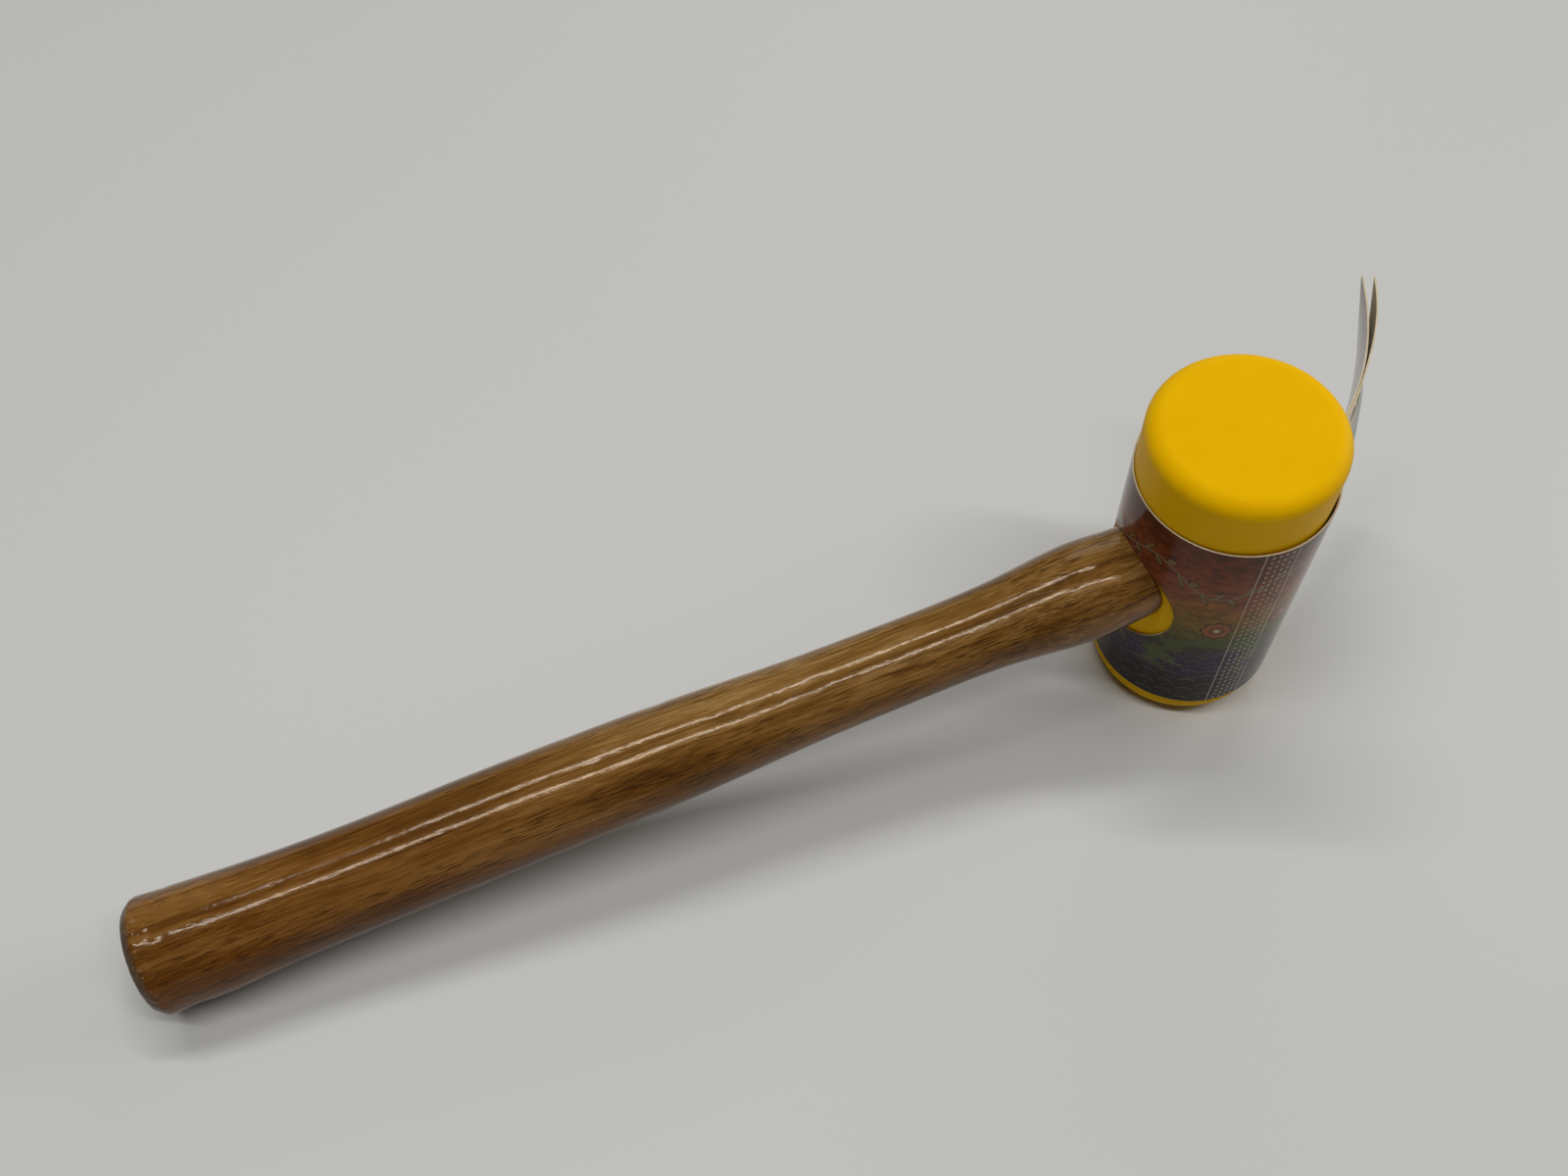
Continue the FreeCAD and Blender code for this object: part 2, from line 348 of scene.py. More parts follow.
def makeGrain():
    # turned wood cut from a board: rings round the pith, fibres, short dark rays and long pores
    group, ins, outs = newGroup(
        "woodGrain",
        [("Place", "Vector", None), ("Rays", "Float", 1.0), ("Pores", "Float", 0.0)],
        [("Figure", "Float"), ("Marks", "Float"), ("Height", "Float")],
    )
    slow = stretched(group, ins["Place"], woodFigure["wanderStretch"])
    drift = put(group, "TexNoise", {"Vector": slow, "Scale": 1.0, "Detail": 2.0}).outputs["Color"]
    sockets = {0: drift, 1: (0.5, 0.5, 0.5)}
    drift = put(group, "VectorMath", sockets, operation="SUBTRACT").outputs[0]
    drift = stretched(group, drift, (0, woodFigure["wander"], woodFigure["wander"]))
    place = put(group, "VectorMath", {0: ins["Place"], 1: drift}, operation="ADD").outputs[0]
    sockets = {0: stretched(group, place, woodFigure["ringStretch"]), 1: woodFigure["pith"]}
    radius = put(group, "VectorMath", sockets, operation="DISTANCE").outputs[1]
    sockets = {"W": radius, "Scale": 1 / woodFigure["ringWidth"], "Detail": 3.0}
    rings = put(group, "TexNoise", sockets, noise_dimensions="1D").outputs[0]
    layers = {"rings": rings, **noiseLayers(group, place, woodFigure["layers"])}
    figure = 0.5
    for name, share in woodFigure["shares"].items():
        figure = sway(group, layers[name], share * 2, figure)
    blotches = calc(group, "SUBTRACT", layers["blotches"], 0.5)
    blotches = times(group, blotches, ins["Pores"])
    figure = scaled(group, blotches, woodFigure["blotchShare"], figure)
    rays = sway(group, layers["crowd"], woodFigure["crowding"], layers["rays"])
    rays = times(group, fade(group, rays, *woodFigure["rayEdge"]), ins["Rays"])
    # a pore runs where its noise crosses one level, and is broken into lengths
    pores = nearTo(group, layers["pores"], woodFigure["poreLine"], *woodFigure["poreEdge"])
    lengths = fade(group, layers["breaks"], *woodFigure["breakEdge"])
    pores = times(group, times(group, pores, lengths), ins["Pores"])
    marks = clamped(group, calc(group, "ADD", rays, pores))
    height = calc(group, "SUBTRACT", times(group, layers["fibres"], 0.5), pores)
    group.links.new(figure, outs["Figure"])
    group.links.new(marks, outs["Marks"])
    group.links.new(height, outs["Height"])
    return group


def rubInto(tree, shader, place, look):
    # the look's roughness, changed where the surface is rubbed; gives back how much it is
    sockets = {"Amount": look["rubbed"], "Size": look["rubbedSize"]}
    rubbed = useGroup(tree, scuffs, Place=place, **sockets)["Mask"]
    rough = scaled(tree, rubbed, look["rubbedRoughness"], look["roughness"])
    tree.links.new(rough, shader.inputs["Roughness"])
    return rubbed


skin = makeSkin()
scuffs = makeScuffs()
grain = makeGrain()


# Head

headFinish = {
    "yellow": (0.86, 0.48, 0.0),
    "deep": (0.84, 0.455, 0.0),
    "cloudScale": 0.06,
    "cloudEdge": (0.35, 0.75),
    "roughness": 0.48,
    "gloss": 0.08,
    "sheenTint": (1.0, 0.75, 0.1),
    "bleed": 0.12,  # share of the light that spreads inside the plastic
    "bleedReach": (1.0, 0.5, 0.05),
    "bleedDepth": 1.5,
    "rubbed": 0.35,
    "rubbedSize": 9.0,
    "rubbedRoughness": 0.1,
    "ripple": 2.2,
    "rippleDepth": 0.012,
    "gateRing": 4.2,  # faint ring where the plastic went in, on each face
    "gateWidth": 1.4,
    "gateHeight": 0.8,
}


def makeHeadPlastic():
    material, tree, shader = newMaterial("yellowPlastic", Roughness=headFinish["roughness"])
    setGloss(shader, headFinish)
    shader.inputs["Subsurface Weight"].default_value = headFinish["bleed"]
    shader.inputs["Subsurface Radius"].default_value = headFinish["bleedReach"]
    shader.inputs["Subsurface Scale"].default_value = headFinish["bleedDepth"] * mm
    place = nodePlace(tree)
    cloud = noiseOf(tree, place, 3.0, 0.6, headFinish["cloudScale"])
    cloud = fade(tree, cloud, *headFinish["cloudEdge"])
    colour = blend(tree, cloud, headFinish["yellow"], headFinish["deep"])
    tree.links.new(colour, shader.inputs["Base Color"])
    rubInto(tree, shader, place, headFinish)
    ripple = useGroup(tree, skin, Place=place, Size=headFinish["ripple"])["Height"]
    flat = stretched(tree, place, (1, 1, 0))
    radius = put(tree, "VectorMath", {0: flat}, operation="LENGTH").outputs[1]
    gate = nearTo(tree, radius, headFinish["gateRing"], headFinish["gateWidth"], 0.0)
    height = scaled(tree, gate, headFinish["gateHeight"], ripple)
    bumpInto(tree, shader, height, headFinish["rippleDepth"])
    return material


def dress(name, material):
    nodes[name].data.materials.clear()
    nodes[name].data.materials.append(material)


dress("mallet_head", makeHeadPlastic())
print("head ready")


# Handle

handle = {
    "reach": 332.0,  # head's axis to the butt
    "height": 61.0,
    "headRadius": 28.5,
    "tenonRadius": 11.0,
    "tenonEnd": 26.291,
    "tenonShares": (0.3, 0.65, 1.0),
    "stations": [  # from the butt along, and the radius there
        (2.6, 17.2), (20.03, 16.05), (56.75, 14.7), (91.05, 15.1), (130.5, 15.1), (160.86, 14.463),
        (194.24, 13.091), (224.59, 12.65), (264.05, 13.49), (289.84, 15.45), (303.5, 14.45),
    ],
    "buttFace": (4.0, 8.0, 11.5, 13.6),
    "buttEdge": [  # the chamfer with its worn corners
        (0, 14.5), (0.03, 14.85), (0.18, 15.16), (0.5, 15.48), (1.1, 15.95), (1.7, 16.42),
        (2.2, 16.84), (2.7, 17.1), (3.3, 17.17),
    ],
    "wallRun": 4.0,  # the last stretch, drawn onto the head's round wall
    "wallShares": (0.2, 0.45),
    "headEnd": [(0.72, 0), (0.86, 0.02), (0.93, 0.10), (0.97, 0.26), (1.0, 0.62)],  # rounded there
    "shoulder": (13.0, 12.1),
    "fullness": 1.05,  # the grip's lower side is fuller by this much
    "fullAlong": (6, 22, 50, 115),  # where that starts, is whole, wanes and ends
    "fullTurn": 246,
    "sanding": (0.09, 28, 1.3, 1),  # depth, length along, number round, and how far inwards
    "wear": (0.13, 2.5, 7, 0.9),  # the same on the worn butt
    "wearEnd": 12,
    "wearRadius": 14,  # and outside this radius
    "plainRadius": 12,  # nothing is uneven inside this one
    "nicks": 26,
    "nickPlaces": (0.3, 2.5, 2.7),
    "nickShift": 0.3,
    "nickSizes": (0.7, 1.8),
    "nickDepths": (0.15, 0.5),
    "dents": 18,
    "dentPlaces": (8, 285),
    "dentSizes": (1.5, 4.5),
    "dentDepths": (0.06, 0.16),
    "seed": 5,
    "segments": 192,
    "buttRings": (3.9, 9.0, 0.6),  # start, end and step of the finer rings
    "step": 1.2,
    "sharpAngle": 62,
    "sliver": 0.0001,
}
handleFinish = {
    "light": (0.360, 0.212, 0.076),
    "middle": (0.215, 0.104, 0.022),
    "dark": (0.088, 0.036, 0.007),
    "figureStops": (0.12, 0.5, 0.85),
    "rays": (0.12, 0.085),  # in the middle, and more per millimetre aside
    "headRays": -0.2,  # change towards the head
    "headAlong": (235, 292),
    "heart": (0.78, 0.62, 0.44),  # painted shade: a warm darker tint multiplied into the handle's lower side and its side towards -Y
    "woodShadeShare": (0.40, -0.034, -0.022),  # in the middle, per millimetre aside and upwards
    "stain": (0.76, 0.62, 0.46),  # tints the wood towards the butt
    "stainAlong": (200, 40),
    "mark": (0.050, 0.019, 0.005),
    "markShare": 0.78,
    "edge": (0.050, 0.031, 0.018),
    "edgeAlong": (3.4, 1.4),
    "edgeShare": 0.72,
    "edgeRoughness": 0.25,
    "scuff": (0.33, 0.25, 0.18),
    "scuffShare": 0.75,
    "scuffRoughness": 0.3,
    "scuffSize": 1.6,
    "cornerWear": (0.62, 3.2, 7.5, 0.4),  # share, middle, reach and full width
    "shoulderWear": (0.45, 281.0, 16, 4),
    "leastWear": 0.16,
    "roughness": 0.10,
    "gloss": 0.25,
    "sheenTint": (1.0, 0.86, 0.70),
    "ripple": 1.1,
    "rippleStretch": 2.4,
    "rippleDepth": 0.040,
    "fibreHeight": 0.5,
}


def curveThrough(stations, places):
    # natural cubic spline
    x, y = np.array(stations, float).T
    gap, rise = np.diff(x), np.diff(y) / np.diff(x)
    size = len(x)
    system, right = np.eye(size), np.zeros(size)
    for i in range(1, size - 1):
        system[i, i - 1:i + 2] = gap[i - 1], 2 * (gap[i - 1] + gap[i]), gap[i]
        right[i] = 6 * (rise[i] - rise[i - 1])
    bend = np.linalg.solve(system, right)
    i = np.clip(np.searchsorted(x, places) - 1, 0, size - 2)
    near, far = places - x[i], x[i + 1] - places
    cubic = (bend[i] * far ** 3 + bend[i + 1] * near ** 3) / (6 * gap[i])
    fromStart = (y[i] / gap[i] - bend[i] * gap[i] / 6) * far
    fromEnd = (y[i + 1] / gap[i] - bend[i + 1] * gap[i] / 6) * near
    return cubic + fromStart + fromEnd


def blemishes():
    # nicks along the butt's corners and shallow dents on the grip: place along, turn, size, depth
    draw = random.Random(handle["seed"])
    marks = []
    for _ in range(handle["nicks"]):
        shift = handle["nickShift"]
        along = draw.choice(handle["nickPlaces"]) + draw.uniform(-shift, shift)
        marks.append((along, draw.uniform(0, 2 * math.pi), draw.uniform(*handle["nickSizes"]),
                      draw.uniform(*handle["nickDepths"])))
    for _ in range(handle["dents"]):
        marks.append((draw.uniform(*handle["dentPlaces"]), draw.uniform(0, 2 * math.pi),
                      draw.uniform(*handle["dentSizes"]), draw.uniform(*handle["dentDepths"])))
    return marks


def handleRings():
    # rings from the middle of the butt to the tenon's end: along, radius, and how far each is
    # drawn onto the head's round wall
    rings = [(0, radius, 0) for radius in handle["buttFace"]]
    rings += [(along, radius, 0) for along, radius in handle["buttEdge"]]
    end = handle["reach"] - handle["headRadius"]
    wallStart = end - handle["wallRun"]
    coarseStart = handle["buttRings"][1]
    along = np.concatenate([np.arange(*handle["buttRings"]),
                            np.arange(coarseStart, wallStart, handle["step"])])
    rings += list(zip(along, curveThrough(handle["stations"], along), np.zeros(len(along))))
    for share, less in [(share, 0) for share in handle["wallShares"]] + handle["headEnd"]:
        at = np.array([wallStart + (end - wallStart) * share])
        rings.append((wallStart, float(curveThrough(handle["stations"], at)[0]) - less, share))
    for radius in (*handle["shoulder"], handle["tenonRadius"]):
        rings.append((wallStart, radius, 1))
    return rings


def fullnessAt(along):
    start, whole, wane, end = handle["fullAlong"]
    rise = min(1, max(0, (along - start) / (whole - start)))
    fall = min(1, max(0, (along - wane) / (end - wane)))
    return handle["fullness"] * rise * rise * (3 - 2 * rise) * (1 - fall * fall * (3 - 2 * fall))


def unevenness(kind, along, y, z):
    depth, length, turns, least = kind
    return depth * (noise.noise(Vector((along / length, y * turns, z * turns))) - least)


def surfaceRadius(along, angle, radius, marks):
    # the turned radius with the marks of hand and use
    y, z = math.sin(angle), math.cos(angle)
    towardsFull = math.cos(angle - math.radians(handle["fullTurn"]))
    at = radius + fullnessAt(along) * (1 + towardsFull) / 2
    at += unevenness(handle["sanding"], along, y, z)
    if along < handle["wearEnd"] and radius > handle["wearRadius"]:
        at += unevenness(handle["wear"], along, y, z)
    for place, turn, size, depth in marks:
        if abs(along - place) < size:
            swing = (angle - turn + math.pi) % (2 * math.pi) - math.pi
            far = math.hypot(along - place, swing * radius) / size
            if far < 1:
                at -= depth * (1 - far * far) ** 2
    return at


def headWall(aside):
    # how far the head's round wall lies from its axis, that far aside
    return -math.sqrt(handle["headRadius"] ** 2 - aside ** 2)


def makeHandle():
    segments = handle["segments"]
    angles = [2 * math.pi * i / segments for i in range(segments)]
    marks = blemishes()
    vertices, faces = [Vector((-handle["reach"], 0, handle["height"])) * mm], []
    rings = handleRings()
    for along, radius, share in rings:
        for angle in angles:
            outside = share == 0 and radius > handle["plainRadius"]
            at = surfaceRadius(along, angle, radius, marks) if outside else radius
            y, z = at * math.sin(angle), handle["height"] + at * math.cos(angle)
            x = (along - handle["reach"]) * (1 - share) + headWall(y) * share
            vertices.append((x * mm, y * mm, z * mm))
    for share in handle["tenonShares"]:
        for angle in angles:
            y, z = math.sin(angle) * handle["tenonRadius"], math.cos(angle) * handle["tenonRadius"]
            x = headWall(y) + (handle["tenonEnd"] - headWall(y)) * share
            vertices.append((x * mm, y * mm, (handle["height"] + z) * mm))
    count = len(rings) + len(handle["tenonShares"])
    for i in range(segments):
        after = (i + 1) % segments
        faces.append((0, 1 + after, 1 + i))
        for ring in range(count - 1):
            first = 1 + ring * segments
            second = first + segments
            faces.append((first + i, first + after, second + after, second + i))
    faces.append(range(len(vertices) - segments, len(vertices)))
    mesh = bpy.data.meshes.new("turned_handle")
    mesh.from_pydata(vertices, [], faces)
    mesh.validate()
    mesh.shade_smooth()
    mesh.set_sharp_from_angle(angle=math.radians(handle["sharpAngle"]))
    return addObject("turned_handle", mesh, stand)


def cutKerf(piece):
    # the tenon's saw kerf holds the wedges
    for name in ("wooden_wedge", "steel_wedges"):
        cut = piece.modifiers.new("kerf", "BOOLEAN")
        cut.operation, cut.solver, cut.object = "DIFFERENCE", "EXACT", nodes[name]
    bpy.context.view_layer.update()
    ready = piece.evaluated_get(bpy.context.evaluated_depsgraph_get())
    mesh = bpy.data.meshes.new_from_object(ready)
    piece.modifiers.clear()
    piece.data = mesh
    # drops the slivers that the cuts leave
    work = bmesh.new()
    work.from_mesh(mesh)
    bmesh.ops.remove_doubles(work, verts=work.verts, dist=handle["sliver"] * mm)
    bmesh.ops.dissolve_degenerate(work, dist=handle["sliver"] * mm, edges=work.edges)
    work.to_mesh(mesh)
    work.free()


def handleWear(tree, place, along):
    # how much the lacquer is rubbed: most at the butt's corner, some at the shoulder
    amount = handleFinish["leastWear"]
    for share, *band in (handleFinish["shoulderWear"], handleFinish["cornerWear"]):
        worn = times(tree, nearTo(tree, along, *band), share)
        amount = calc(tree, "MAXIMUM", worn, amount)
    sockets = {"Amount": amount, "Size": handleFinish["scuffSize"]}
    return times(tree, useGroup(tree, scuffs, Place=place, **sockets)["Mask"], amount)


def makeHandleWood():
    material, tree, shader = newMaterial("lacqueredWood", IOR=1.5)
    setGloss(shader, handleFinish)
    place = ownPlace(tree)
    parts = put(tree, "SeparateXYZ", {0: place}).outputs
    along = calc(tree, "ADD", parts[0], handle["reach"])
    rise = calc(tree, "SUBTRACT", parts[2], handle["height"])
    least, perSide = handleFinish["rays"]
    side = clamped(tree, scaled(tree, calc(tree, "ABSOLUTE", parts[1]), perSide, least))
    nearHead = fade(tree, along, *handleFinish["headAlong"])
    rays = times(tree, side, scaled(tree, nearHead, handleFinish["headRays"], 1.0))
    figure = useGroup(tree, grain, Place=place, Rays=rays, Pores=nearHead)
    tones = [handleFinish[name] for name in ("dark", "middle", "light")]
    colour = ramp(tree, figure["Figure"], list(zip(handleFinish["figureStops"], tones)))
    # painted shade: the lower side and the side towards -Y are tinted darker and warmer, most where
    # both meet
    middle, perSide, perRise = handleFinish["woodShadeShare"]
    heart = scaled(tree, parts[1], perSide, middle)
    heart = clamped(tree, scaled(tree, rise, perRise, heart))
    colour = blend(tree, heart, colour, handleFinish["heart"], "MULTIPLY")
    stained = fade(tree, along, *handleFinish["stainAlong"])
    colour = blend(tree, stained, colour, handleFinish["stain"], "MULTIPLY")
    marks = times(tree, figure["Marks"], handleFinish["markShare"])
    colour = blend(tree, marks, colour, handleFinish["mark"])
    butt = fade(tree, along, *handleFinish["edgeAlong"])
    worn = times(tree, butt, handleFinish["edgeShare"])
    colour = blend(tree, worn, colour, handleFinish["edge"])
    rubbed = handleWear(tree, place, along)
    scuffed = times(tree, rubbed, handleFinish["scuffShare"])
    colour = blend(tree, scuffed, colour, handleFinish["scuff"])
    tree.links.new(colour, shader.inputs["Base Color"])
    rough = scaled(tree, rubbed, handleFinish["scuffRoughness"], handleFinish["roughness"])
    rough = scaled(tree, butt, handleFinish["edgeRoughness"], rough)
    tree.links.new(rough, shader.inputs["Roughness"])
    sockets = {"Size": handleFinish["ripple"], "Stretch": handleFinish["rippleStretch"]}
    ripple = useGroup(tree, skin, Place=place, **sockets)["Height"]
    height = scaled(tree, figure["Height"], handleFinish["fibreHeight"], ripple)
    bumpInto(tree, shader, height, handleFinish["rippleDepth"])
    return material


turned = makeHandle()
cutKerf(turned)
turned.data.materials.append(makeHandleWood())
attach(turned, "mallet")
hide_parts("handle")
print("handle ready,", len(turned.data.vertices), "vertices")


# Wedges and staples

wedgeFinish = {
    "dark": (0.36, 0.22, 0.11),
    "light": (0.60, 0.42, 0.24),
    "figureStops": (0.2, 0.8),
    "mark": (0.25, 0.14, 0.07),
    "rays": 0.6,
    "pores": 0.4,
    "roughness": 0.7,
    "fibreDepth": 0.08,
}
metalFinish = {
    "wedge_steel": {"colour": (0.33, 0.32, 0.31), "roughness": 0.42},
    "staple_wire": {"colour": (0.62, 0.62, 0.61), "roughness": 0.28},
}
metalWear = {
    "dull": 0.55,
    "rubbed": 0.8,
    "rubbedSize": 1.5,
    "rubbedRoughness": 0.2,
    "drawnSize": 0.35,
    "drawnStretch": 6.0,
    "drawnDepth": 0.01,
}


def makeWedgeWood():
    material, tree, shader = newMaterial("rawWedgeWood", Roughness=wedgeFinish["roughness"])
    sockets = {"Rays": wedgeFinish["rays"], "Pores": wedgeFinish["pores"]}
    figure = useGroup(tree, grain, Place=nodePlace(tree), **sockets)
    tones = (wedgeFinish["dark"], wedgeFinish["light"])
    colour = ramp(tree, figure["Figure"], list(zip(wedgeFinish["figureStops"], tones)))
    colour = blend(tree, figure["Marks"], colour, wedgeFinish["mark"])
    tree.links.new(colour, shader.inputs["Base Color"])
    bumpInto(tree, shader, figure["Height"], wedgeFinish["fibreDepth"])
    return material


def makeMetal(slot):
    look = {**metalWear, **metalFinish[slot]}
    material, tree, shader = newMaterial(slot, Metallic=1.0)
    place = nodePlace(tree)
    rubbed = rubInto(tree, shader, place, look)
    dull = tuple(look["dull"] * part for part in look["colour"])
    tree.links.new(blend(tree, rubbed, look["colour"], dull), shader.inputs["Base Color"])
    sockets = {"Size": look["drawnSize"], "Stretch": look["drawnStretch"]}
    drawn = useGroup(tree, skin, Place=place, **sockets)["Height"]
    bumpInto(tree, shader, drawn, look["drawnDepth"])
    return material


dress("wooden_wedge", makeWedgeWood())
dress("steel_wedges", makeMetal("wedge_steel"))
dress("tab_staples", makeMetal("staple_wire"))
print("wedges and staples ready")


# Card: one printed strip, wrapped round the head, its two ends left as a hang tab

card = {
    "height": 89.0,
    "foot": 9.5,  # lower edge above the head's foot
    "slack": 0.5,  # the wrap hangs away from the handle
    "inner": 29.3,
    "outer": 29.8,
    "slit": 0.3,
    "tabTurn": -3.5,  # where the wrap's ends meet, in degrees round the head
    "holeRadius": 20.0,
    "holeHeight": 46.3,
    "holeSides": 96,
    "holeTuck": 0.085,  # how much of the radius its far upper edge is drawn in
    "tuckTurn": 142,
    "tuckReach": 26,
    "ripple": 0.10,
    "rippleAcross": 17,
    "rippleUp": 26,
    "dents": [  # over the hole: place across, above it, width, height, how far out
        (-7.5, 1.6, 2.6, 1.9, 0.34), (-2.5, 3.2, 2.4, 2.4, -0.22),
    ],
    "dentClear": 1.6,  # they grow from nothing at the hole's edge to whole here
    "bulges": [(66, 17, -0.35), (-24, 9, -0.33), (-47, 12, 0.40)],  # place across, width, height
    "step": 1.5,
    "rimGap": 0.55,  # of a step, between a hole's edge and the next points
    "rimShare": 0.985,  # triangles nearer to a hole's middle than this share are left out
    "sharpAngle": 50,
}
tab = {
    "length": 67.0,
    "creaseRadius": 30.65,
    "heading": 30.2,  # at the crease, then at the end of each stretch
    "shares": (0.3, 0.3, 0.4),
    "leftRim": (41.8, 53.4, 66.3),
    "leftFoot": (30.5, 30.8, 31.2),
    "rightRim": (41.8, 47.1, 63.4),
    "rightFoot": (30.5, 30.7, 31.0),
    "footCurl": 1.0,
    "footReach": 0.2,
    "waistCurl": 0.35,
    "waist": 0.38,  # share of the height
    "waistReach": 0.12,
    "near": 0.05,  # a leaf's two faces, from the line between the leaves
    "far": 0.55,
    "holeRadius": 6.5,
    "holeInset": 14.0,
    "holeSides": 48,
}
cardMiddle = (card["inner"] + card["outer"]) / 2


def flatSheet(left, right, hole):
    # points and triangles of a flat sheet with one hole, a closed list of points
    wide = np.linspace(left, right, max(2, round((right - left) / card["step"])) + 1)
    high = np.linspace(0, card["height"], round(card["height"] / card["step"]) + 1)
    rim = np.array(hole)
    centre, reach = rim.mean(0), np.abs(rim - rim.mean(0)).max(0)
    keep = reach + card["step"] * card["rimGap"]
    points = [(a, b) for a in wide for b in high
              if math.hypot((a - centre[0]) / keep[0], (b - centre[1]) / keep[1]) > 1]
    first = len(points)
    points += [tuple(point) for point in rim]
    loop = [(first + i, first + (i + 1) % len(rim)) for i in range(len(rim))]
    cut = delaunay_2d_cdt([Vector(point) for point in points], loop, [], 0, 1e-6)
    flat = np.array([tuple(point) for point in cut[0]])
    triangles = []
    for triangle in cut[2]:
        a, b, c = flat[list(triangle)]
        if math.hypot(*(((a + b + c) / 3 - centre) / reach)) < card["rimShare"]:
            continue
        turn = (b[0] - a[0]) * (c[1] - a[1]) - (b[1] - a[1]) * (c[0] - a[0])
        triangles.append(tuple(triangle) if turn > 0 else tuple(triangle)[::-1])
    return flat, triangles


def makeCard(name, flat, triangles, placeOf, body, node):
    # placeOf(across, up, side) gives the printed side at 0 and the board side at 1
    count = len(flat)
    vertices = [placeOf(a, b, side) for side in (0, 1) for a, b in flat]
    faces = list(triangles) + [tuple(count + i for i in triangle[::-1]) for triangle in triangles]
    kinds = [0] * len(triangles) + [1] * len(triangles)
    edges = {(t[i], t[(i + 1) % 3]) for t in triangles for i in range(3)}
    for a, b in sorted(edges):
        if (b, a) not in edges:
            faces.append((b, a, count + a, count + b))
            kinds.append(2)
    mesh = bpy.data.meshes.new(name)
    mesh.from_pydata([tuple(Vector(v) * mm) for v in vertices], [], faces)
    mesh.polygons.foreach_set("material_index", kinds)
    spread = mesh.attributes.new("cardPlace", "FLOAT_VECTOR", "POINT")
    spread.data.foreach_set("vector", [value for a, b in flat for value in (a, b, 0)] * 2)
    mesh.shade_smooth()
    mesh.set_sharp_from_angle(angle=math.radians(card["sharpAngle"]))
    piece = addObject(name, mesh, stand)
    for material in cardMaterials:
        mesh.materials.append(material)
    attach(piece, body)
    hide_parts(node)


def sleevePlace(across, up, side):
    # a slightly wavy wrap, dented over the handle and drawn in beside the tab
    angle = math.pi + across / cardMiddle
    radius = card["outer"] if side == 0 else card["inner"]
    place = Vector((across / card["rippleAcross"], up / card["rippleUp"], 3))
    radius += card["ripple"] * noise.noise(place)
    top = card["holeHeight"] + card["holeRadius"]
    fromHole = math.hypot(across, up - card["holeHeight"]) - card["holeRadius"]
    clear = min(1, max(0, fromHole / card["dentClear"]))
    for aside, above, wide, high, change in card["dents"]:
        away = -((across - aside) / wide) ** 2 - ((up - top - above) / high) ** 2
        radius += clear * change * math.exp(away)
    for middle, wide, change in card["bulges"]:
        radius += change * math.exp(-((across - middle) / wide) ** 2)
    return (card["slack"] + radius * math.cos(angle), radius * math.sin(angle), card["foot"] + up)


def heading(degrees):
    return Vector((math.cos(math.radians(degrees)), math.sin(math.radians(degrees)), 0))


def leafLine(headings, share, offset):
    # along a leaf's middle line, in three bends that run into each other
    point = Vector((card["slack"], 0, 0)) + heading(card["tabTurn"]) * tab["creaseRadius"]
    first, start = tab["heading"], 0
    for span, last in zip(tab["shares"], headings):
        radius = span * tab["length"] / math.radians(last - first)
        centre = point - heading(first - 90) * radius
        if share <= start + span + 1e-9:
            turn = first + (last - first) * (share - start) / span
            return centre + heading(turn - 90) * (radius - offset)
        point = centre + heading(last - 90) * radius
        first, start = last, start + span


def leafPlace(footHeadings, rimHeadings, offsets, across, up, side):
    share, rise = across / tab["length"], up / card["height"]
    low = leafLine(footHeadings, share, offsets[side])
    high = leafLine(rimHeadings, share, offsets[side])
    curl = tab["footCurl"] * math.exp(-(rise / tab["footReach"]) ** 2)
    curl -= tab["waistCurl"] * math.exp(-((rise - tab["waist"]) / tab["waistReach"]) ** 2)
    place = low + (high - low) * rise + heading(tab["heading"] + 90) * curl * share ** 2
    return (place.x, place.y, card["foot"] + up)


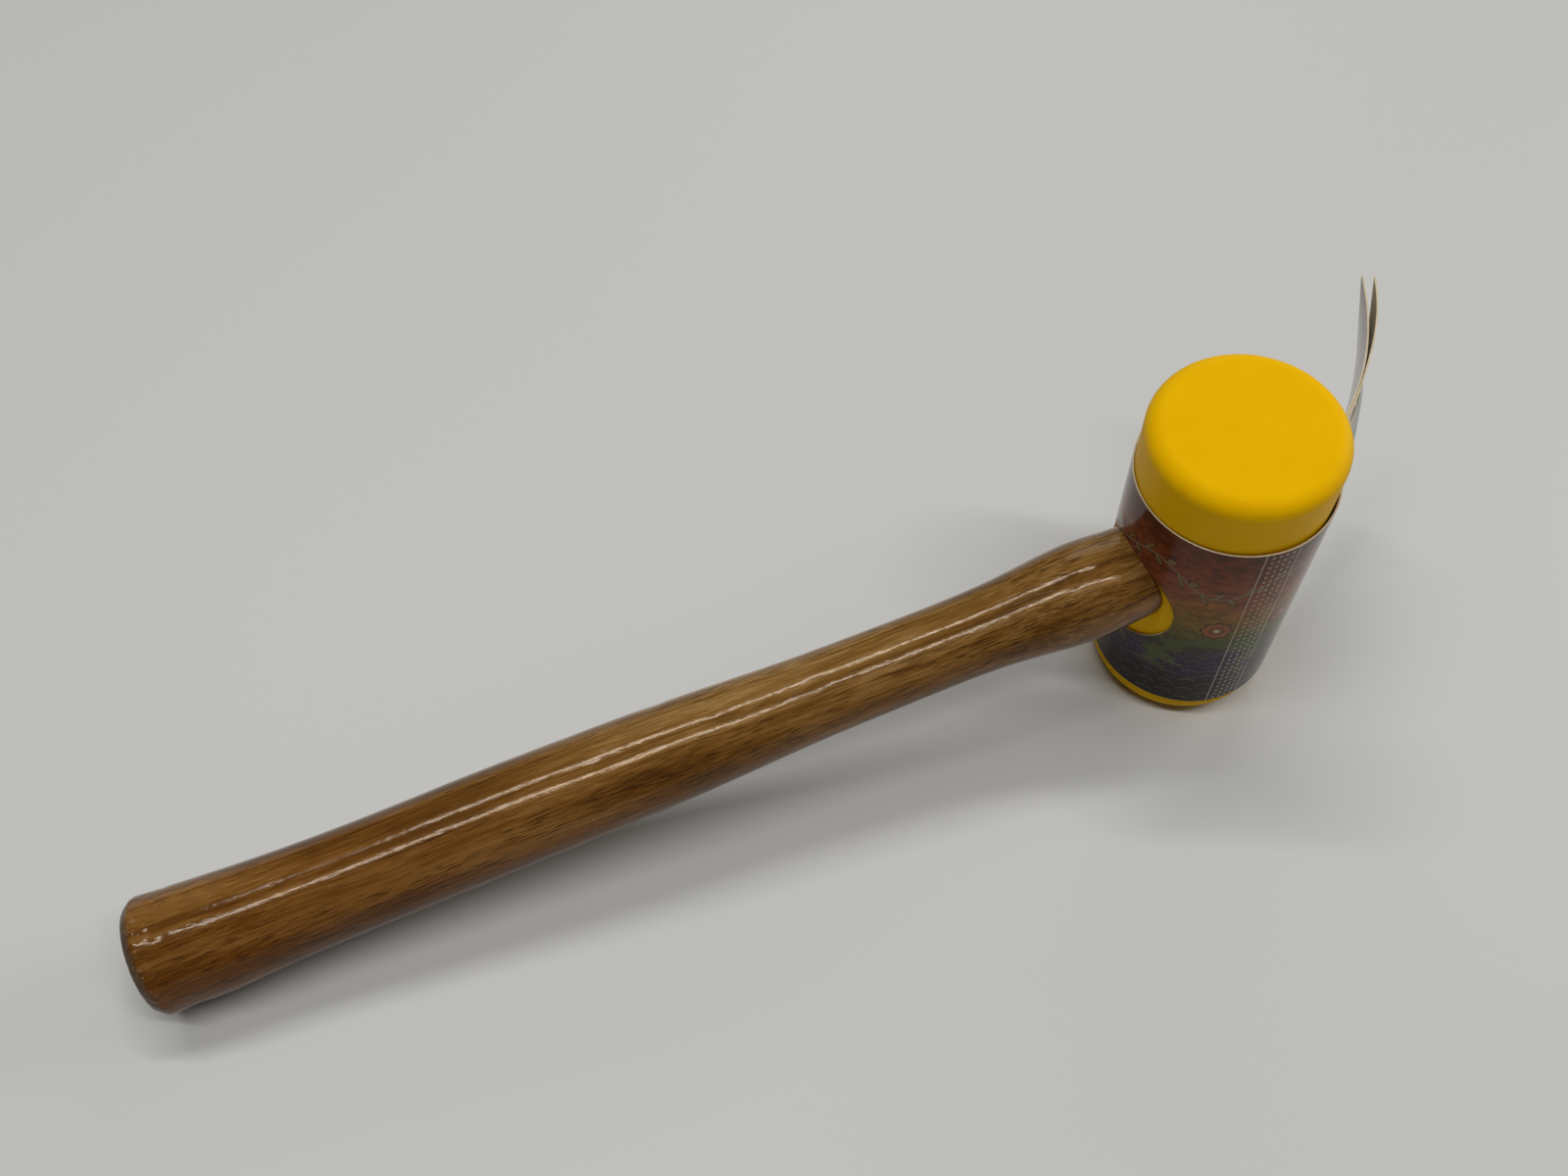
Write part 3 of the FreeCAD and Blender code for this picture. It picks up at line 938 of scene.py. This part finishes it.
# Edge, outline, inside, wear, rise and fall are where a mask is 0 and where it is 1.
printLook = {
    "tones": [  # from the lower edge to the upper one
        (0.00, (0.008, 0.005, 0.005)), (0.15, (0.016, 0.008, 0.015)), (0.28, (0.042, 0.022, 0.066)),
        (0.38, (0.060, 0.058, 0.024)), (0.50, (0.150, 0.110, 0.018)), (0.62, (0.240, 0.110, 0.020)),
        (0.74, (0.240, 0.066, 0.030)), (0.87, (0.175, 0.042, 0.014)), (1.00, (0.085, 0.026, 0.014)),
    ],
    "toneDrift": 15.0,
    "brushTones": [(0.3, (0.40, 0.36, 0.34)), (0.5, (0.95, 0.95, 0.95)), (0.72, (1.6, 1.5, 1.4))],
    "brushShare": 0.8,
    "layers": {  # stretch across and up, detail, roughness
        "drift": ((0.030, 0.045, 0), 3.0, 0.55),
        "swirl": ((0.11, 0.16, 0), 4.0, 0.6),
        "brush": ((0.20, 0.30, 0), 5.0, 0.62),
        "strokes": ((0.16, 0.34, 0), 2.0, 0.5),
        "leafy": ((0.075, 0.12, 0), 2.0, 0.5),
    },
    "line": (0.22, 0.17, 0.13),
    "leaf": (0.072, 0.090, 0.030),
    "stroke": (0.045, 0.020, 0.014),
    "petal": (0.30, 0.105, 0.036),
    "pale": (0.46, 0.41, 0.33),
    "vineLeaf": (0.21, 0.135, 0.060),
    "strokeEdge": (0.60, 0.65),
    "strokeRise": (60, 72),
    "strokeShare": 0.7,
    "leafEdge": (0.52, 0.56),
    "leafRise": (12, 24),
    "leafFall": (48, 36),
    "contourCounts": (60.0, 9.0),  # from the drift and from the swirl
    "contourEdge": (0.10, 0.03),
    "contourShare": 0.45,
    "scaleWidth": 12.0,
    "scaleEdge": (0.55, 0.2),
    "scaleFall": (31, 25),
    "scaleShare": 0.5,
    "flowerRadius": 4.7,
    "flowerRow": 47.0,
    "flowerPitch": 22.0,
    "petals": 8,
    "petalNotch": 0.30,
    "petalRoundness": 0.6,
    "flowerEdges": {  # as shares of the radius
        "outline": (1.12, 1.04), "petal": (0.98, 0.90), "veins": (0.62, 0.52),
        "veinless": (0.30, 0.38), "heart": (0.24, 0.17),
    },
    "veinShare": 0.5,
    "vineRow": 70.0,
    "vineSwing": 5.0,
    "vinePitch": 40.0,
    "vineEdge": (0.42, 0.22),
    "leafPitch": 4.0,
    "leafAside": 1.9,  # a vine leaf's middle from the stem
    "leafSlant": 0.6,
    "leafHalf": (1.05, 1.8),  # half its width and length
    "leafOutline": (1.25, 1.12),
    "leafInside": (1.0, 0.85),
    "borderPitch": 88.0,
    "borderHalf": 5.2,
    "borderRule": (0.28, 0.14),  # half its width, as such an edge
    "borderInset": 1.1,
    "lozenge": (2.0, 2.6),  # pitch across and up
    "lozengeSlope": 0.75,
    "lozengeEdge": (0.62, 0.48),
    "borderWear": (0.25, 0.42),
    "borderShare": 0.8,
    "roughness": 0.13,
    "gloss": 0.15,
    "sheenTint": (1.0, 0.85, 0.66),
    "rubbed": 0.3,
    "rubbedSize": 7.0,
    "rubbedRoughness": 0.15,
    "ripple": 5.0,
    "rippleDepth": 0.03,
}
boardLook = {
    "greyBoard": {"pale": (0.62, 0.55, 0.42), "dark": (0.50, 0.43, 0.31), "depth": 0.02},
    "cutEdge": {"pale": (0.66, 0.56, 0.38), "dark": (0.50, 0.40, 0.26), "depth": 0.03},
    "roughness": 0.75,
    "fibres": (4.0, 0.65, 1.4),  # detail, roughness, scale
    "cloud": (2.0, 0.5, 0.12),
    "fibreShare": 0.7,
    "cloudShare": 0.5,
    "edge": (0.4, 0.85),
}


def cellPlace(tree, value, pitch, shift=0.0):
    # how far a place is from the middle of its repeat
    moved = calc(tree, "ADD", value, shift)
    return calc(tree, "SUBTRACT", calc(tree, "FLOORED_MODULO", moved, pitch), pitch / 2)


def lengthOf(tree, first, second):
    squares = scaled(tree, first, first, times(tree, second, second))
    return calc(tree, "SQRT", squares)


def drawScales(tree, across, up):
    # overlapping round scales, the lower row in front: distance from the middle of the one on top
    radius = printLook["scaleWidth"] / 2
    lowest = calc(tree, "DIVIDE", calc(tree, "SUBTRACT", up, radius), radius / 2)
    lowest = calc(tree, "CEIL", lowest)
    distance = calc(tree, "ADD", radius, 0.0)
    for number in (3, 2, 1, 0):
        row = calc(tree, "ADD", lowest, float(number))
        shift = times(tree, calc(tree, "FLOORED_MODULO", row, 2.0), radius)
        aside = cellPlace(tree, across, 2 * radius, shift)
        rise = calc(tree, "SUBTRACT", up, times(tree, row, radius / 2))
        far = lengthOf(tree, aside, rise)
        inside = calc(tree, "LESS_THAN", far, radius)
        change = times(tree, calc(tree, "SUBTRACT", far, distance), inside)
        distance = calc(tree, "ADD", distance, change)
    return distance


def drawFlowers(tree, across, up):
    # a row of rosettes: 1 at each one's edge, 0 in its middle
    aside = cellPlace(tree, across, printLook["flowerPitch"])
    rise = calc(tree, "SUBTRACT", up, printLook["flowerRow"])
    turn = times(tree, calc(tree, "ARCTAN2", rise, aside), printLook["petals"] / 2)
    reach = calc(tree, "ABSOLUTE", calc(tree, "COSINE", turn))
    reach = calc(tree, "POWER", reach, printLook["petalRoundness"])
    reach = scaled(tree, reach, printLook["petalNotch"], 1 - printLook["petalNotch"])
    reach = times(tree, reach, printLook["flowerRadius"])
    return calc(tree, "DIVIDE", lengthOf(tree, aside, rise), reach)


def drawVine(tree, across, up):
    # a waving stem, and leaves on both sides of it: distance from the stem, and 1 at a leaf's edge
    swing = calc(tree, "SINE", times(tree, across, 2 * math.pi / printLook["vinePitch"]))
    stem = scaled(tree, swing, printLook["vineSwing"], printLook["vineRow"])
    rise = calc(tree, "SUBTRACT", up, stem)
    aside = cellPlace(tree, across, printLook["leafPitch"])
    number = calc(tree, "FLOOR", calc(tree, "DIVIDE", across, printLook["leafPitch"]))
    way = scaled(tree, calc(tree, "FLOORED_MODULO", number, 2.0), 2.0, -1.0)
    high = scaled(tree, rise, way, -printLook["leafAside"])
    slanted = scaled(tree, high, -printLook["leafSlant"], aside)
    wide, tall = printLook["leafHalf"]
    leaf = lengthOf(tree, calc(tree, "DIVIDE", slanted, wide), calc(tree, "DIVIDE", high, tall))
    return calc(tree, "ABSOLUTE", rise), leaf


def paint(tree, colour, name, *masks):
    # the named colour of the print, as far as the masks together leave it
    share = masks[0]
    for mask in masks[1:]:
        share = times(tree, share, mask)
    return blend(tree, share, colour, printLook[name])


def paintGround(tree, layers, up):
    # drifting earth colours, brushed light and dark, with strokes near the top
    moved = sway(tree, layers["drift"], 2 * printLook["toneDrift"], up)
    moved = sway(tree, layers["swirl"], printLook["toneDrift"], moved)
    colour = ramp(tree, calc(tree, "DIVIDE", moved, card["height"]), printLook["tones"])
    shade = ramp(tree, layers["brush"], printLook["brushTones"])
    colour = blend(tree, printLook["brushShare"], colour, shade, "MULTIPLY")
    strokes = fade(tree, layers["strokes"], *printLook["strokeEdge"])
    high = fade(tree, up, *printLook["strokeRise"])
    return paint(tree, colour, "stroke", strokes, high, printLook["strokeShare"])


def paintLeafage(tree, colour, layers, up):
    # green patches and thin contours in a band below the rosettes
    low, high = fade(tree, up, *printLook["leafRise"]), fade(tree, up, *printLook["leafFall"])
    band = times(tree, low, high)
    leafy = fade(tree, layers["leafy"], *printLook["leafEdge"])
    colour = paint(tree, colour, "leaf", leafy, band)
    perDrift, perSwirl = printLook["contourCounts"]
    height = scaled(tree, layers["drift"], perDrift, times(tree, layers["swirl"], perSwirl))
    contour = fade(tree, calc(tree, "PINGPONG", height, 1.0), *printLook["contourEdge"])
    return paint(tree, colour, "line", contour, band, printLook["contourShare"])


def paintFlowers(tree, colour, across, up):
    flower = drawFlowers(tree, across, up)
    mask = {name: fade(tree, flower, *edge) for name, edge in printLook["flowerEdges"].items()}
    colour = paint(tree, colour, "stroke", mask["outline"])
    colour = paint(tree, colour, "petal", mask["petal"])
    colour = paint(tree, colour, "stroke", mask["veins"], mask["veinless"], printLook["veinShare"])
    return paint(tree, colour, "pale", mask["heart"])


def paintBorders(tree, colour, layers, across, up):
    # upright borders of small lozenges between two rules, worn in places
    border = calc(tree, "ABSOLUTE", cellPlace(tree, across, printLook["borderPitch"]))
    wide, tall = printLook["lozenge"]
    aside = calc(tree, "ABSOLUTE", cellPlace(tree, across, wide))
    rise = calc(tree, "ABSOLUTE", cellPlace(tree, up, tall))
    lozenge = scaled(tree, rise, printLook["lozengeSlope"], aside)
    half = printLook["borderHalf"]
    within = calc(tree, "LESS_THAN", border, half - printLook["borderInset"])
    dots = times(tree, fade(tree, lozenge, *printLook["lozengeEdge"]), within)
    rule = nearTo(tree, border, half, *printLook["borderRule"])
    worn = fade(tree, layers["swirl"], *printLook["borderWear"])
    drawn = calc(tree, "MAXIMUM", dots, rule)
    return paint(tree, colour, "pale", worn, printLook["borderShare"], drawn)


def makePrint():
    # a made-up ornament: drifting earth colours, a foot of overlapping scales, a row of rosettes,
    # a vine and upright borders
    group, ins, outs = newGroup("cardOrnament", [("Place", "Vector", None)], [("Color", "Color")])
    parts = put(group, "SeparateXYZ", {0: ins["Place"]}).outputs
    across, up = parts[0], parts[1]
    layers = noiseLayers(group, ins["Place"], printLook["layers"])
    colour = paintGround(group, layers, up)
    colour = paintLeafage(group, colour, layers, up)
    wave = calc(group, "FLOORED_MODULO", drawScales(group, across, up), printLook["scaleWidth"] / 4)
    lines = fade(group, wave, *printLook["scaleEdge"])
    low = fade(group, up, *printLook["scaleFall"])
    colour = paint(group, colour, "line", lines, low, printLook["scaleShare"])
    colour = paintFlowers(group, colour, across, up)
    stem, leaves = drawVine(group, across, up)
    colour = paint(group, colour, "stroke", fade(group, leaves, *printLook["leafOutline"]))
    colour = paint(group, colour, "vineLeaf", fade(group, leaves, *printLook["leafInside"]))
    colour = paint(group, colour, "line", fade(group, stem, *printLook["vineEdge"]))
    colour = paintBorders(group, colour, layers, across, up)
    group.links.new(colour, outs["Color"])
    return group


def cardSpread(tree):
    return put(tree, "Attribute", attribute_name="cardPlace").outputs["Vector"]


def makePrintedFace():
    material, tree, shader = newMaterial("printedFace")
    setGloss(shader, printLook)
    place = cardSpread(tree)
    ornament = useGroup(tree, makePrint(), Place=place)
    tree.links.new(ornament["Color"], shader.inputs["Base Color"])
    rubInto(tree, shader, place, printLook)
    ripple = useGroup(tree, skin, Place=place, Size=printLook["ripple"])["Height"]
    bumpInto(tree, shader, ripple, printLook["rippleDepth"])
    return material


def makeBoard(name):
    look = boardLook[name]
    material, tree, shader = newMaterial(name, Roughness=boardLook["roughness"])
    place = cardSpread(tree)
    fibres = noiseOf(tree, place, *boardLook["fibres"])
    cloud = times(tree, noiseOf(tree, place, *boardLook["cloud"]), boardLook["cloudShare"])
    share = scaled(tree, fibres, boardLook["fibreShare"], cloud)
    colour = blend(tree, fade(tree, share, *boardLook["edge"]), look["pale"], look["dark"])
    tree.links.new(colour, shader.inputs["Base Color"])
    bumpInto(tree, shader, fibres, look["depth"])
    return material


cardMaterials = [makePrintedFace(), makeBoard("greyBoard"), makeBoard("cutEdge")]


def sleeveHole():
    half = cardMiddle * math.sin(card["holeRadius"] / cardMiddle)
    rim = []
    for i in range(card["holeSides"]):
        turn = 2 * math.pi * i / card["holeSides"]
        away = (math.degrees(turn) - card["tuckTurn"]) / card["tuckReach"]
        tuck = 1 - card["holeTuck"] * math.exp(-away ** 2)
        across = cardMiddle * math.asin(half * tuck * math.cos(turn) / cardMiddle)
        rim.append((across, card["holeHeight"] + card["holeRadius"] * tuck * math.sin(turn)))
    return rim


def tabHole():
    across, up = tab["length"] - tab["holeInset"], card["height"] / 2
    turns = [2 * math.pi * i / tab["holeSides"] for i in range(tab["holeSides"])]
    return [(across + tab["holeRadius"] * math.cos(turn), up + tab["holeRadius"] * math.sin(turn))
            for turn in turns]


def makeSleeve():
    left = -cardMiddle * math.radians(180 - card["tabTurn"]) + card["slit"] / 2
    right = cardMiddle * math.radians(180 + card["tabTurn"]) - card["slit"] / 2
    flat, triangles = flatSheet(left, right, sleeveHole())
    makeCard("printed_sleeve", flat, triangles, sleevePlace, "sleeve", "card_sleeve")
    return left, right


def makeLeaf(name, node, end, way, foot, rim):
    # way is the direction of its length across the sheet
    flat, triangles = flatSheet(0, tab["length"], tabHole())
    if way < 0:
        triangles = [triangle[::-1] for triangle in triangles]
    spread = np.array([(end + way * a, b) for a, b in flat])
    offsets = (-way * tab["far"], -way * tab["near"])

    def place(across, up, side):
        return leafPlace(foot, rim, offsets, (across - end) * way, up, side)

    makeCard(name, spread, triangles, place, "hang_tab", node)


leftEnd, rightEnd = makeSleeve()
makeLeaf("tab_left", "tab_leaf_left", leftEnd, -1, tab["leftFoot"], tab["leftRim"])
makeLeaf("tab_right", "tab_leaf_right", rightEnd, 1, tab["rightFoot"], tab["rightRim"])
print("card ready")
